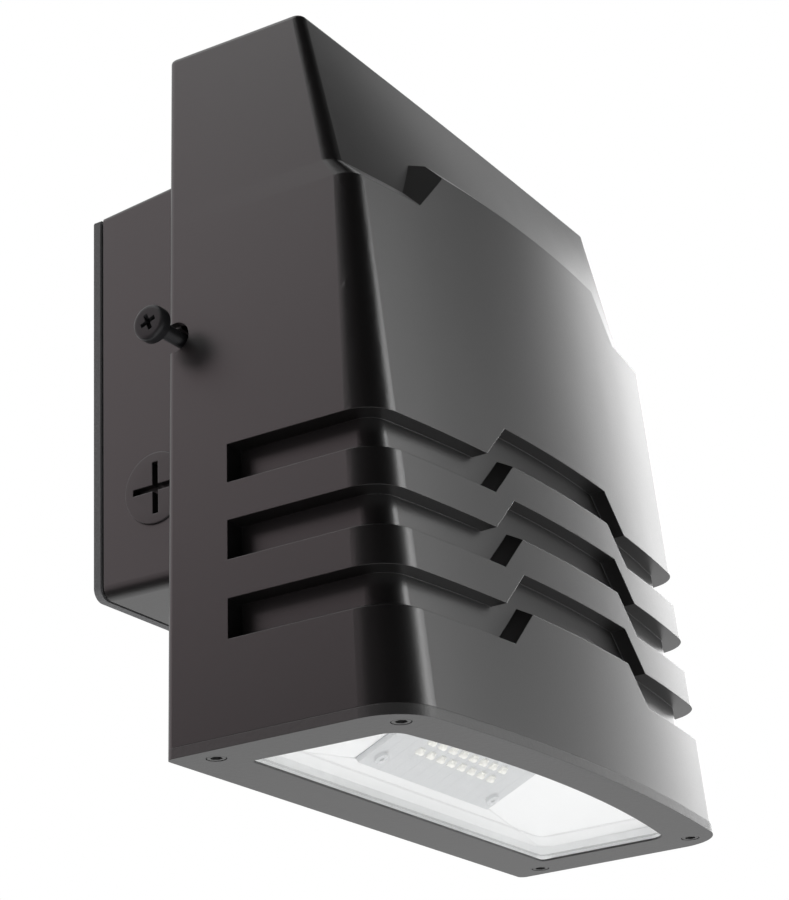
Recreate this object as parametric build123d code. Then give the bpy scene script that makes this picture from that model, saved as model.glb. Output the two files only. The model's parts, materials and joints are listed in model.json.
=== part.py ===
from build123d import *
import os
from math import cos, sin, tan, radians

# A cut-off wall light: a tapered die-cast housing hangs on a shallow wall box,
# shines down through a glass in its bottom frame, and is held shut by a screw
# in each side of the box.
#
# All sizes are in millimetres.  The pieces are drawn in the housing's frame:
# x across, +y towards the wall with y = 0 on the housing's rear edge, and z up
# from the bottom frame.  At the end everything moves so that the origin is the
# middle of the wall face.

# ---------------------------------------------------------------- housing shell
housing_height = 290.0
half_width_bottom = 127.5
half_width_top = 119.5
front_narrowing = 2.0        # each side lies this much nearer the middle in front
depth_bottom = 97.6          # rear edge to the ends of the bowed front
depth_step = 83.1
bow_bottom = 9.5             # how far the middle of the front stands out
bow_step = 11.0
corner_radius_bottom = 21.0
corner_radius_step = 9.0
rear_corner_radius = 3.0
wall = 3.5
thick_wall = 4.5             # walls of the cap, and of the sides behind the louvres

# ---------------------------------------------------------------- upper cap
step_height = 212.0          # top of the lower front, at its sides
shoulder_rise = 8.0          # the sloped shoulder between lower front and cap
cap_depth_step = 75.6
cap_depth_top = 62.1
cap_bow_top = 0.6
cap_corner_radius_step = 6.0
cap_corner_radius_top = 4.0
cap_edge_radius = 2.0        # around its top face
cap_tab_rise = 19.4          # the middle of the lower front reaches higher
cap_tab_half_width = 62.5
cap_tab_run = 17.0           # across each of its sloping sides
cap_tab_setback = 7.0        # of the top edge of its shoulder, which ends in a small ledge

# ---------------------------------------------------------------- louvres
louvre_count = 3
louvre_pitch = 30.0
louvre_gap = 15.2
louvre_first = 39.4          # lower edge of the lowest louvre, at the sides
louvre_jog = 15.0            # the middle of each louvre sits this much higher
louvre_tab_half_width = 41.0
louvre_lower_shift = 2.5     # the lower edge jogs this much nearer the middle
louvre_side_depth = 9.0
louvre_front_depth = 6.2
louvre_rise = 3.7            # each louvre's floor climbs this much towards the back
louvre_rear_margin = 27.2    # plain strip behind the louvres

# ---------------------------------------------------------------- bottom frame and glass
frame_thickness = 4.0
window_side_margin = 21.0
window_front_margin = 16.6
window_rear_margin = 22.1
window_front_radius = 8.0
window_rear_radius = 2.0
glass_overlap = 5.0
glass_thickness = 4.0
glass_seat = 0.8             # height of the ledge that the glass lies on
glass_clearance = 0.6
seal_thickness = 0.6
rim_seal_width = 3.0
rim_seal_depth = 1.6
rim_seal_margin = 4.2
frame_screw_diameter = 4.0
frame_screw_head = 7.0
frame_screw_head_height = 1.6
frame_screw_length = 12.0
frame_screw_sink = 2.4       # the heads sit this deep in the frame
frame_screw_rear = 15.1
frame_screw_front = 88.6
frame_screw_side_margin = 10.0
frame_screw_front_margin = 15.0
screw_boss_radius = 5.0
hole_clearance = 0.4         # screw holes are this much wider than their screws
head_clearance = 0.6
recess_share = 1.0 / 3.0     # width of a driving recess as a share of its head

# ---------------------------------------------------------------- light source
shelf_thickness = 5.0
shelf_tilt = 24.0            # degrees; the board faces down and outwards
shelf_rear_height = 11.5
shelf_bend = 27.6            # behind this distance from the rear the shelf is level
board_length = 96.0
board_width = 50.0
board_thickness = 1.6
board_setback = 1.5          # gap along the slope between the bend and the board
pad_thickness = 0.5
chip_size = 3.2
chip_height = 0.9
chip_columns = 8
chip_rows = 4
chip_pitch_x = 7.6
chip_pitch_y = 6.2
board_screw_diameter = 3.0
board_screw_head = 5.6
board_screw_head_height = 1.6
board_screw_length = 5.0
board_screw_margin = 6.5
reflector_wall = 1.0
reflector_clearance = 0.3    # around the board
reflector_gap = 0.5          # above the glass
reflector_facets = 4         # flats on each side of the middle of its front

# ---------------------------------------------------------------- wall box
box_projection = 45.1        # from the housing's rear edge to the seal
box_nest = 10.0              # how far the box reaches into the housing
box_bottom = 73.0            # above the bottom of the housing, at its front rim
box_top_margin = 49.0        # below the top of the housing
box_side_margin = 18.0       # inside the bottom edge of each side of the housing
box_draft = 2.6              # each side draws in this much towards the wall
box_radius_top = 1.8
box_radius_bottom = 5.0
box_least_radius = 1.0       # of its inner corners
box_wall = 3.5
box_floor = 3.2
box_groove_height = 1.8
box_groove_depth = 1.5
wall_seal_thickness = 3.2

# ---------------------------------------------------------------- fixings in the wall box
wall_screw_hole = 6.4
wall_screw_spacing_x = 170.0
wall_screw_spacing_z = 120.0
wall_screw_boss = 7.0
wall_screw_boss_height = 3.0
junction_spacing = 88.9
junction_hole = 4.8
supply_hole = 22.2

# ---------------------------------------------------------------- conduit plugs
plug_thread = 21.0
plug_head = 29.0
plug_head_height = 1.4
plug_depth = 10.0
plug_slot_length = 21.0
plug_slot_width = 2.6
plug_slot_depth = 1.0
plug_height = 40.5           # above the bottom of the box rim
plug_setback = 16.9          # behind the housing's rear edge
plug_boss_radius = 15.0
plug_boss_length = 7.0
plug_seat_depth = 0.6        # the plug's head lies in a shallow spot face

# ---------------------------------------------------------------- side lock screws
lock_diameter = 6.0
lock_head = 14.4
lock_head_height = 4.6
lock_length = 36.0
lock_height = 92.0           # above the bottom of the box rim
lock_setback = 4.0           # in front of the housing's rear edge
lock_cross_length = 10.4
lock_cross_width = 2.8
lock_cross_depth = 2.4
lock_cross_turn = 20.0       # degrees, as the left screw stands in its hole
lock_travel = 11.0
lock_end_gap = 1.3           # from the head to the housing when screwed home
lock_clearance = 0.3
lock_boss_radius = 6.4
lock_boss_length = 8.0
notch_half_height = 6.0
notch_inner_gap = 0.2        # the notch starts this far outside the wall box

# ---------------------------------------------------------------- hinge
hinge_rise = 5.5             # pin above the top of the box
hinge_setback = 3.5          # pin in front of the housing's rear edge
hinge_pin_diameter = 5.0
hinge_eye_radius = 4.5
hinge_lug_width = 5.0
hinge_knuckle_width = 16.0
hinge_gap = 0.4
hinge_offset = 70.0
hinge_clearance = 0.3

# ---------------------------------------------------------------- rear cover of the housing
cover_thickness = 3.0
cover_gap = 0.5
pocket_gap = 1.5
pocket_headroom = 12.5
pocket_wall = 2.5
cover_seal_thickness = 1.2
cover_seal_width = 7.0
body_gap = 0.3               # between the seal and the rim of the box
cover_screw_diameter = 4.0
cover_screw_head = 7.6
cover_screw_head_height = 2.4
cover_screw_length = 14.0
cover_boss_length = 22.0
cover_boss_inset = 6.5       # from the walls to the middle of a screw boss
cable_hole = 16.0
cable_hole_height = 49.0     # above the bottom of the box rim
grommet_lip = 3.0
grommet_lip_height = 1.6
grommet_bore = 8.0

# ---------------------------------------------------------------- driver and surge protector
driver_length = 118.0
driver_width = 62.0
driver_depth = 32.0
driver_sheet = 1.2
driver_ear = 12.0
driver_ear_thickness = 2.0
driver_height = 115.0        # middle of the driver above the bottom of the box rim
driver_screw_diameter = 4.0
driver_screw_head = 7.6
driver_screw_head_height = 2.6
surge_length = 46.0
surge_width = 28.0
surge_depth = 22.0
surge_offset = 50.0
surge_ear = 9.0
surge_ear_thickness = 2.0
surge_corner_radius = 3.0
surge_gap = 16.0             # below the driver

# ---------------------------------------------------------------- terminals
terminal_length = 48.0
terminal_width = 20.0
terminal_depth = 16.0
terminal_offset = 48.0
terminal_ways = 3
terminal_screw = 5.0
terminal_bore = 6.0
terminal_groove = 1.2
terminal_slot = 1.0
ground_screw_diameter = 4.8
ground_screw_head = 10.0
ground_screw_head_height = 3.4
ground_hex_radius = 4.0
ground_boss_radius = 6.5
ground_boss_height = 5.0
ground_offset_x = 62.0
ground_offset_z = 26.0

# ---------------------------------------------------------------- worked out from the sizes above
box_top = housing_height - box_top_margin
box_height = box_top - box_bottom
box_middle = (box_bottom + box_top) / 2
box_half_width = half_width_bottom - box_side_margin
box_wall_y = box_projection
wall_face_y = box_projection + wall_seal_thickness
lock_z = box_bottom + lock_height
plug_z = box_bottom + plug_height
hinge_z = box_top + hinge_rise
pocket_floor_y = -(box_nest + body_gap + cover_seal_thickness)
pocket_half_width = box_half_width + pocket_gap
pocket_bottom = box_bottom - pocket_gap
pocket_top = box_top + pocket_headroom
rail_height = shelf_rear_height + shelf_thickness
louvre_side_inset = louvre_side_depth + wall
louvre_front_inset = louvre_front_depth + wall
louvre_zone_top = (louvre_first + louvre_pitch * (louvre_count - 1)
                   + louvre_gap + louvre_jog + wall)
louvre_floor_low = -0.25              # each floor is cut from a little outside the face
louvre_floor_high = 1.25              # to a little inside the core
reach = 2.0 * housing_height          # longer than any cut needs
overlap = 1.0                         # how far joined solids of one piece overlap


def between(start, end, share):
    return start + (end - start) * share


def half_width_at(height):
    return between(half_width_bottom, half_width_top, height / housing_height)


def depth_at(height):
    return between(depth_bottom, depth_step, height / step_height)


def bow_at(height):
    return between(bow_bottom, bow_step, height / step_height)


def outline(height, half_rear, depth, bow, corner_radius, rear_y=0.0, rear_radius=rear_corner_radius):
    """Flat outline at one height: straight back and sides, a bowed front."""
    half_front = half_rear - front_narrowing
    sides = Polyline((half_front, -depth), (half_rear, rear_y),
                     (-half_rear, rear_y), (-half_front, -depth))
    front = ThreePointArc((-half_front, -depth), (0, -depth - bow), (half_front, -depth))
    face = make_face(sides + front)
    corners = face.vertices().sort_by(Axis.Y)
    face = fillet(corners[:2], corner_radius)
    corners = face.vertices().sort_by(Axis.Y)
    face = fillet(corners[-2:], rear_radius)
    return Pos(0, 0, height) * face


def lower_outline(height, side=0.0, front=0.0, rear=0.0):
    """Outline of the lower housing, drawn in by the given amounts."""
    share = height / step_height
    radius = between(corner_radius_bottom, corner_radius_step, share)
    return outline(height, half_width_at(height) - side, depth_at(height) - front, bow_at(height),
                   max(radius - min(side, front), 2.0), -rear)


def cap_outline(height, side=0.0, front=0.0, rear=0.0):
    """Outline of the upper cap, drawn in by the given amounts."""
    start = step_height + shoulder_rise
    share = (height - start) / (housing_height - start)
    radius = between(cap_corner_radius_step, cap_corner_radius_top, share)
    return outline(height, half_width_at(height) - side,
                   between(cap_depth_step, cap_depth_top, share) - front,
                   between(bow_step, cap_bow_top, share),
                   max(radius - min(side, front), 2.0), -rear)


def span(low, high, shape, **insets):
    return loft([shape(low, **insets), shape(high, **insets)], ruled=True)


def shoulder(height):
    """The slope from the proud lower front back to the cap."""
    top = cap_outline(height + shoulder_rise)
    return loft([lower_outline(height), top], ruled=True)


def block(x_low, x_high, y_low, y_high, z_low, z_high):
    box = Box(x_high - x_low, y_high - y_low, z_high - z_low)
    return Pos((x_low + x_high) / 2, (y_low + y_high) / 2, (z_low + z_high) / 2) * box


def rod(start, direction, diameter, length):
    plane = Plane(origin=start, z_dir=direction)
    return extrude(plane * Circle(diameter / 2), length)


def screw(seat, out, diameter, head, head_height, shank):
    """Pan-head screw with a plain shank; seat is the point under its head."""
    inwards = tuple(-part for part in out)
    body = rod(seat, out, head, head_height) + rod(seat, inwards, diameter, shank)
    foot = tuple(start + step * head_height / 2 for start, step in zip(seat, out))
    return body - rod(foot, out, head * recess_share, head_height / 2)


def cross(sign, face, y, z, length, width, depth, turn):
    """Crossed driving slots in a face that looks out to one side."""
    arm = block(face - depth, face + overlap, -length / 2, length / 2, -width / 2, width / 2)
    arms = Pos(0, y, z) * (Rot(X=turn) * (arm + Rot(X=90) * arm))
    return mirror(arms, about=Plane.YZ) if sign < 0 else arms


def front_profile(points, y_low, y_high):
    """A prism along y from points in x and z."""
    face = make_face(Polyline(*points, close=True))
    solid = extrude(Plane.XZ * face, y_high - y_low)
    return Pos(0, y_high, 0) * solid


def side_profile(points, x_low, x_high):
    """A prism along x from points in y and z."""
    face = make_face(Polyline(*points, close=True))
    solid = extrude(Plane.YZ * face, x_high - x_low)
    return Pos(x_low, 0, 0) * solid


# ---------------------------------------------------------------- housing
def stepped_line(height, rise, half_width):
    """A level line whose middle stands higher, with slopes of 45 degrees."""
    return [(-reach, height), (-half_width - rise, height), (-half_width, height + rise),
            (half_width, height + rise), (half_width + rise, height), (reach, height)]


def oblique_tab(half_width, height, run, rise, spread, slope):
    """A tab with sloping sides, swept back and upwards.

    Its sides pass through the front face half way up, and run on above and
    below by spread.
    """
    middle = height + rise / 2
    across = half_width + run / 2
    share = 1 - (across / half_width_at(middle)) ** 2
    front = depth_at(middle) + bow_at(middle) * share
    foot = half_width + run + spread * run / rise
    top = half_width - spread * run / rise
    start = -front - spread
    lift = slope * spread
    low = height - spread - lift
    high = height + rise + spread - lift
    face = make_face(Polyline((-foot, low), (-top, high), (top, high), (foot, low), close=True))
    face = Pos(0, start, 0) * (Plane.XZ * face)
    return extrude(face, reach / 2, dir=Vector(0, 1, slope).normalized())


def louvre_floor(height):
    """All that lies under a floor that starts on the outer face and climbs inwards."""
    low = louvre_floor_low
    high = louvre_floor_high
    bottom = lower_outline(height + low * louvre_rise, side=low * louvre_side_depth,
                           front=low * louvre_front_depth)
    top = lower_outline(height + high * louvre_rise, side=high * louvre_side_depth,
                        front=high * louvre_front_depth)
    return loft([bottom, top], ruled=True)


def louvre_cut(height):
    """The hollow of one louvre, outside the core that closes it inwards."""
    start = height + louvre_floor_low * louvre_rise
    high = stepped_line(height + louvre_gap, louvre_jog, louvre_tab_half_width)
    band = front_profile([(-reach, start), (reach, start)] + high[::-1], -reach, -louvre_rear_margin)
    middle = louvre_floor(height + louvre_jog)
    middle += span(start - overlap, start + louvre_jog, lower_outline,
                   side=louvre_floor_low * louvre_side_depth, front=louvre_floor_low * louvre_front_depth)
    middle &= oblique_tab(louvre_tab_half_width - louvre_lower_shift, height, louvre_jog,
                          louvre_jog, louvre_jog, louvre_rise / louvre_front_depth)
    return band - louvre_core() - louvre_floor(height) - middle


def louvre_core():
    return span(frame_thickness, step_height, lower_outline,
                side=louvre_side_depth, front=louvre_front_depth)


def cap_tab():
    """The raised middle of the lower front, with its own shoulder."""
    top = step_height + cap_tab_rise
    ledge = lower_outline(top + shoulder_rise, front=cap_tab_setback)
    solid = span(step_height, top, lower_outline) + loft([lower_outline(top), ledge], ruled=True)
    solid &= block(-reach, reach, -reach, -wall, 0, reach)
    slope = shoulder_rise / (depth_step - cap_depth_step)
    return solid & oblique_tab(cap_tab_half_width, step_height, cap_tab_run, cap_tab_rise,
                               cap_tab_rise, slope)


def outer_shape():
    lower = span(0, step_height, lower_outline) + shoulder(step_height)
    cap = span(step_height + shoulder_rise, housing_height, cap_outline)
    cap = fillet(cap.faces().sort_by(Axis.Z)[-1].edges(), cap_edge_radius)
    return lower + cap + cap_tab()


def lamp_shelf():
    """Level behind, then rising towards the front; it carries the board."""
    front = depth_bottom + bow_bottom - louvre_front_inset + overlap
    rise = (front - shelf_bend) * tan(radians(shelf_tilt))
    thick = shelf_thickness / cos(radians(shelf_tilt))
    rear = wall
    points = [(-rear, shelf_rear_height), (-shelf_bend, shelf_rear_height),
              (-front, shelf_rear_height + rise), (-front, shelf_rear_height + rise + thick),
              (-shelf_bend, shelf_rear_height + shelf_thickness),
              (-rear, shelf_rear_height + shelf_thickness)]
    half = half_width_bottom
    solid = side_profile(points, -half, half)
    limit = span(frame_thickness, louvre_zone_top, lower_outline,
                 side=louvre_side_inset - wall / 2, front=louvre_front_inset - wall / 2)
    return solid & limit


def cover_screw_places():
    low = rail_height + cover_boss_inset
    high = housing_height - thick_wall - cover_boss_inset
    return [(sign * (half_width_at(z) - thick_wall - cover_boss_inset), z)
            for z in (low, high) for sign in (-1, 1)]


def cover_boss(x, z):
    """Screw boss for the rear cover, joined to the corner beside it."""
    length = cover_boss_length
    boss = rod((x, -cover_thickness, z), (0, -1, 0), 2 * screw_boss_radius, length)
    corner = cover_boss_inset + overlap
    x_low, x_high = sorted((x, x + (corner if x > 0 else -corner)))
    z_low, z_high = sorted((z, z + (corner if z > housing_height / 2 else -corner)))
    return boss + block(x_low, x_high, -cover_thickness - length, -cover_thickness, z_low, z_high)


def frame_screw_places():
    rear_x = half_width_bottom - frame_screw_side_margin
    front_x = half_width_bottom - frame_screw_front_margin
    return [(sign * x, -y) for x, y in ((rear_x, frame_screw_rear), (front_x, frame_screw_front))
            for sign in (-1, 1)]


def notch(sign):
    """Open slot in a side wall, so that the housing slides off its lock screw."""
    x_low, x_high = sorted((sign * (box_half_width + notch_inner_gap), sign * (half_width_bottom + wall)))
    slot = block(x_low, x_high, -lock_setback, wall, lock_z - notch_half_height,
                 lock_z + notch_half_height)
    end = rod((x_low, -lock_setback, lock_z), (1, 0, 0), 2 * notch_half_height, x_high - x_low)
    return slot + end


def make_housing():
    shell = outer_shape()
    shell -= block(-reach, reach, -reach, reach, -reach, frame_thickness)
    for index in range(louvre_count):
        shell -= louvre_cut(louvre_first + index * louvre_pitch)
    shell -= span(frame_thickness - overlap, louvre_zone_top + overlap, lower_outline,
                  side=louvre_side_inset, front=louvre_front_inset, rear=louvre_side_inset)
    # The back is open above the rail that carries the bottom frame.
    open_low = half_width_at(rail_height) - thick_wall
    open_high = half_width_at(louvre_zone_top + overlap) - thick_wall
    shell -= front_profile([(-open_low, rail_height), (open_low, rail_height),
                            (open_high, louvre_zone_top + overlap),
                            (-open_high, louvre_zone_top + overlap)], wall - louvre_rear_margin, wall)
    shell -= span(louvre_zone_top, step_height - wall, lower_outline,
                  side=wall, front=wall, rear=-wall)
    shell -= span(step_height - wall - overlap, housing_height - thick_wall, cap_outline,
                  side=thick_wall, front=thick_wall, rear=-wall)
    shell += lamp_shelf()
    for x, z in cover_screw_places():
        hole = rod((x, wall, z), (0, -1, 0), cover_screw_diameter, cover_screw_length + wall)
        shell = shell + cover_boss(x, z) - hole
    for x, y in frame_screw_places():
        boss = rod((x, y, frame_thickness), (0, 0, 1), 2 * screw_boss_radius, frame_screw_length)
        hole = rod((x, y, 0), (0, 0, 1), frame_screw_diameter, frame_screw_length + frame_screw_sink)
        shell = shell + boss - hole
    for sign in (-1, 1):
        shell -= notch(sign)
    for x, y in board_screw_places():
        shell -= board_rod(x, y, -board_screw_length, board_screw_diameter, board_screw_length)
    return shell


# ---------------------------------------------------------------- bottom frame, seals and glass
def window_outline(height, grow):
    """The lit opening, or the glass that is larger than it by grow."""
    half = half_width_bottom - window_side_margin + grow
    depth = depth_bottom - window_front_margin + grow
    return outline(height, half, depth, bow_bottom, window_front_radius + grow,
                   -window_rear_margin + grow, window_rear_radius + grow)


def window_prism(low, high, grow=0.0):
    return extrude(window_outline(low, grow), high - low)


def rim_seal_ring(low, high):
    outside = lower_outline(low, side=rim_seal_margin, front=rim_seal_margin, rear=rim_seal_margin)
    margin = rim_seal_margin + rim_seal_width
    inside = lower_outline(low, side=margin, front=margin, rear=margin)
    return extrude(outside, high - low) - extrude(inside, high - low)


def make_bottom_frame():
    frame = span(0, frame_thickness, lower_outline)
    frame -= window_prism(-overlap, frame_thickness + overlap)
    frame -= window_prism(glass_seat, frame_thickness + overlap, glass_overlap + glass_clearance)
    frame -= rim_seal_ring(frame_thickness - rim_seal_depth, frame_thickness + overlap)
    for x, y in frame_screw_places():
        frame -= rod((x, y, -overlap), (0, 0, 1), frame_screw_head + head_clearance, frame_screw_sink + overlap)
        frame -= rod((x, y, 0), (0, 0, 1), frame_screw_diameter + hole_clearance, frame_thickness + overlap)
    return frame


def make_rim_seal():
    seal = rim_seal_ring(frame_thickness - rim_seal_depth, frame_thickness)
    for x, y in frame_screw_places():
        seal -= rod((x, y, 0), (0, 0, 1), frame_screw_diameter + hole_clearance, frame_thickness + overlap)
    return seal


def make_glass():
    low = glass_seat + seal_thickness
    return window_prism(low, low + glass_thickness, glass_overlap)


def make_glass_seal():
    low = glass_seat
    pad = window_prism(low, low + seal_thickness, glass_overlap)
    return pad - window_prism(low - overlap, low + 2 * seal_thickness, glass_overlap / 3)


def make_frame_screws():
    return [screw((x, y, frame_screw_sink), (0, 0, -1), frame_screw_diameter, frame_screw_head,
                  frame_screw_head_height, frame_screw_length - overlap)
            for x, y in frame_screw_places()]


# ---------------------------------------------------------------- board, chips and reflector
def board_plane():
    """Plane of the shelf's underside at the middle of the board; z points out."""
    tilt = radians(shelf_tilt)
    along = board_setback + board_width / 2
    origin = (0, -shelf_bend - along * cos(tilt), shelf_rear_height + along * sin(tilt))
    return Plane(origin=origin, x_dir=(1, 0, 0), z_dir=(0, -sin(tilt), -cos(tilt)))


def board_slab(length, width, low, thickness):
    return extrude(board_plane().offset(low) * Rectangle(length, width), thickness)


def board_rod(x, y, low, diameter, length):
    return extrude(board_plane().offset(low) * Pos(x, y) * Circle(diameter / 2), length)


def board_screw_places():
    x = board_length / 2 - board_screw_margin
    y = board_width / 2 - board_screw_margin
    return [(sx * x, sy * y) for sx in (-1, 1) for sy in (-1, 1)]


def board_face():
    return pad_thickness + board_thickness


def make_thermal_pad():
    pad = board_slab(board_length, board_width, 0, pad_thickness)
    for x, y in board_screw_places():
        pad -= board_rod(x, y, -overlap, board_screw_diameter + hole_clearance, 2 * overlap + pad_thickness)
    return pad


def make_board():
    board = board_slab(board_length, board_width, pad_thickness, board_thickness)
    for x, y in board_screw_places():
        board -= board_rod(x, y, 0, board_screw_diameter + hole_clearance, 2 * overlap + board_thickness)
    return board


def make_chips():
    plane = board_plane().offset(board_face())
    spots = GridLocations(chip_pitch_x, chip_pitch_y, chip_columns, chip_rows)
    return [extrude(plane * spot * Rectangle(chip_size, chip_size), chip_height) for spot in spots]


def make_board_screws():
    plane = board_plane().offset(board_face())
    out = tuple(plane.z_dir)
    return [screw(tuple(plane.from_local_coords((x, y, 0))), out, board_screw_diameter,
                  board_screw_head, board_screw_head_height,
                  board_face() + board_screw_length - overlap)
            for x, y in board_screw_places()]


def front_shares():
    """Points across the front: share of the half width, and share of the bow."""
    return [(step / reflector_facets, 1 - (step / reflector_facets) ** 2)
            for step in range(-reflector_facets, reflector_facets + 1)]


def reflector_loft(grow):
    """From a rectangle around the board out to the glass, larger by grow."""
    low = glass_seat + seal_thickness + glass_thickness + reflector_gap
    half = half_width_bottom - window_side_margin + grow
    front = depth_bottom - window_front_margin + grow
    rear = window_rear_margin - grow
    mouth = [(half * across, -front - bow_bottom * out, low) for across, out in front_shares()]
    mouth += [(half, -rear, low), (-half, -rear, low)]
    plane = board_plane()
    throat_half = board_length / 2 + reflector_clearance + grow
    throat_side = board_width / 2 + reflector_clearance + grow
    throat = [plane.from_local_coords((throat_half * across, throat_side, 0))
              for across, out in front_shares()]
    throat += [plane.from_local_coords((side * throat_half, -throat_side, 0)) for side in (1, -1)]
    return loft([make_face(Polyline(*mouth, close=True)), make_face(Polyline(*throat, close=True))],
                ruled=True)


def make_reflector():
    return reflector_loft(reflector_wall) - reflector_loft(0.0)


# ---------------------------------------------------------------- wall box and its seal
def box_face(y, draw, inset=0.0):
    """Outline of the box, nearly square at the top corners, smaller by draw all round."""
    face = Rectangle(2 * (box_half_width - draw), box_height - 2 * draw)
    face = fillet(face.vertices().group_by(Axis.Y)[0], max(box_radius_bottom - inset, box_least_radius))
    face = fillet(face.vertices().group_by(Axis.Y)[-1], max(box_radius_top - inset, box_least_radius))
    return Plane(origin=(0, y, box_middle), x_dir=(1, 0, 0), z_dir=(0, -1, 0)) * face


def box_outline(y, inset=0.0):
    """Outline of the box at a distance from the housing's rear edge."""
    share = (y + box_nest) / (box_wall_y + box_nest)
    return box_face(y, box_draft * share + inset, inset)


def wall_screw_places():
    x = wall_screw_spacing_x / 2
    z = wall_screw_spacing_z / 2
    return [(sx * x, box_middle + sz * z) for sx in (-1, 1) for sz in (-1, 1)]


def junction_places():
    return [(sign * junction_spacing / 2, box_middle) for sign in (-1, 1)]


def wall_holes(cut_from, length):
    cuts = rod((0, cut_from, box_middle), (0, 1, 0), supply_hole, length)
    for x, z in wall_screw_places():
        cuts += rod((x, cut_from, z), (0, 1, 0), wall_screw_hole, length)
    for x, z in junction_places():
        cuts += rod((x, cut_from, z), (0, 1, 0), junction_hole, length)
    return cuts


def hinge_lug_places(sign):
    """Inner and outer x of the two lugs at one end of the hinge."""
    inner = hinge_offset - hinge_knuckle_width / 2 - hinge_gap - hinge_lug_width
    outer = hinge_offset + hinge_knuckle_width / 2 + hinge_gap
    return [sorted((sign * start, sign * (start + hinge_lug_width))) for start in (inner, outer)]


def hinge_lug(x_low, x_high):
    eye = rod((x_low, -hinge_setback, hinge_z), (1, 0, 0), 2 * hinge_eye_radius, x_high - x_low)
    foot = block(x_low, x_high, -hinge_setback - hinge_eye_radius, -hinge_setback + hinge_eye_radius,
                 box_top - overlap, hinge_z)
    bore = rod((x_low, -hinge_setback, hinge_z), (1, 0, 0), hinge_pin_diameter, x_high - x_low)
    return eye + foot - bore


def side_at(y):
    """Half width of the box at a distance from the housing's rear edge."""
    return box_half_width - box_draft * (y + box_nest) / (box_wall_y + box_nest)


def make_wall_box():
    groove_y = box_wall_y - box_groove_height
    outer = loft([box_outline(-box_nest), box_outline(groove_y)], ruled=True)
    neck = loft([box_outline(groove_y - overlap, box_groove_depth),
                 box_outline(box_wall_y, box_groove_depth)], ruled=True)
    cavity = loft([box_outline(-box_nest - overlap, box_wall),
                   box_outline(box_wall_y - box_floor, box_wall)], ruled=True)
    floor_y = box_wall_y - box_floor
    body = outer + neck - cavity
    for x, z in wall_screw_places():
        body += rod((x, floor_y + overlap, z), (0, -1, 0), 2 * wall_screw_boss,
                    wall_screw_boss_height + overlap)
    ground_x, ground_z = ground_place()
    body += rod((ground_x, floor_y + overlap, ground_z), (0, -1, 0), 2 * ground_boss_radius,
                ground_boss_height + overlap)
    body -= rod((ground_x, floor_y - ground_boss_height, ground_z), (0, 1, 0),
                ground_screw_diameter, ground_boss_height)
    body -= wall_holes(floor_y - wall_screw_boss_height - overlap, reach)
    for sign in (-1, 1):
        inside = side_at(plug_setback) - box_wall + overlap
        body += rod((sign * inside, plug_setback, plug_z), (-sign, 0, 0), 2 * plug_boss_radius,
                    plug_boss_length + overlap) & cavity_limit()
        body -= rod((sign * (side_at(plug_setback) + overlap), plug_setback, plug_z), (-sign, 0, 0),
                    plug_thread, box_wall + plug_boss_length + 3 * overlap)
        seat = side_at(plug_setback)
        body -= rod((sign * (seat + 2 * overlap), plug_setback, plug_z), (-sign, 0, 0),
                    plug_head, 2 * overlap + plug_seat_depth)
        inside = side_at(-lock_setback) - box_wall + overlap
        body += rod((sign * inside, -lock_setback, lock_z), (-sign, 0, 0), 2 * lock_boss_radius,
                    lock_boss_length + overlap) & cavity_limit()
        body -= rod((sign * reach, -lock_setback, lock_z), (-sign, 0, 0),
                    lock_diameter + 2 * lock_clearance, reach - inside + lock_boss_length + 3 * overlap)
        for x_low, x_high in hinge_lug_places(sign):
            body += hinge_lug(x_low, x_high)
    return body


def cavity_limit():
    """Everything inside the outer faces of the box."""
    return loft([box_outline(-box_nest, box_wall / 2), box_outline(box_wall_y, box_wall / 2)],
                ruled=True)


def make_wall_seal():
    seal = extrude(box_outline(wall_face_y), wall_seal_thickness)
    return seal - wall_holes(box_wall_y - overlap, wall_seal_thickness + 2 * overlap)


def make_plug(sign):
    seat = side_at(plug_setback) - plug_seat_depth
    head = rod((sign * seat, plug_setback, plug_z), (sign, 0, 0), plug_head, plug_head_height)
    stem = rod((sign * seat, plug_setback, plug_z), (-sign, 0, 0), plug_thread, plug_depth)
    return head + stem - cross(sign, seat + plug_head_height, plug_setback, plug_z,
                               plug_slot_length, plug_slot_width, plug_slot_depth, 0.0)


# ---------------------------------------------------------------- hinge pins and lock screws
def make_hinge_pin(sign):
    (a, b), (c, d) = hinge_lug_places(sign)
    low, high = min(a, c), max(b, d)
    return rod((low, -hinge_setback, hinge_z), (1, 0, 0), hinge_pin_diameter, high - low)


def lock_head_inner():
    """Where the head starts at rest, with the screw backed out."""
    return half_width_at(lock_z - notch_half_height) + lock_end_gap + lock_travel


def make_lock_screw(sign):
    x = lock_head_inner()
    start = (sign * x, -lock_setback, lock_z)
    shank = rod(start, (-sign, 0, 0), lock_diameter, lock_length)
    head = rod(start, (sign, 0, 0), lock_head, lock_head_height)
    rim = head.edges().filter_by(GeomType.CIRCLE).sort_by(Axis.X)
    rim = rim[0] if sign < 0 else rim[-1]
    head = fillet(rim, lock_head_height / 4)
    return shank + head - cross(sign, x + lock_head_height, -lock_setback, lock_z,
                                lock_cross_length, lock_cross_width, lock_cross_depth, lock_cross_turn)


# ---------------------------------------------------------------- rear cover and its pieces
def cover_outline():
    low = rail_height + cover_gap
    high = housing_height - thick_wall - cover_gap
    low_half = half_width_at(low) - thick_wall - cover_gap
    high_half = half_width_at(high) - thick_wall - cover_gap
    return [(-low_half, low), (low_half, low), (high_half, high), (-high_half, high)]


def pocket_block(grow, y_low, y_high):
    return block(-pocket_half_width - grow, pocket_half_width + grow, y_low, y_high,
                 pocket_bottom - grow, pocket_top + grow)


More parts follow.
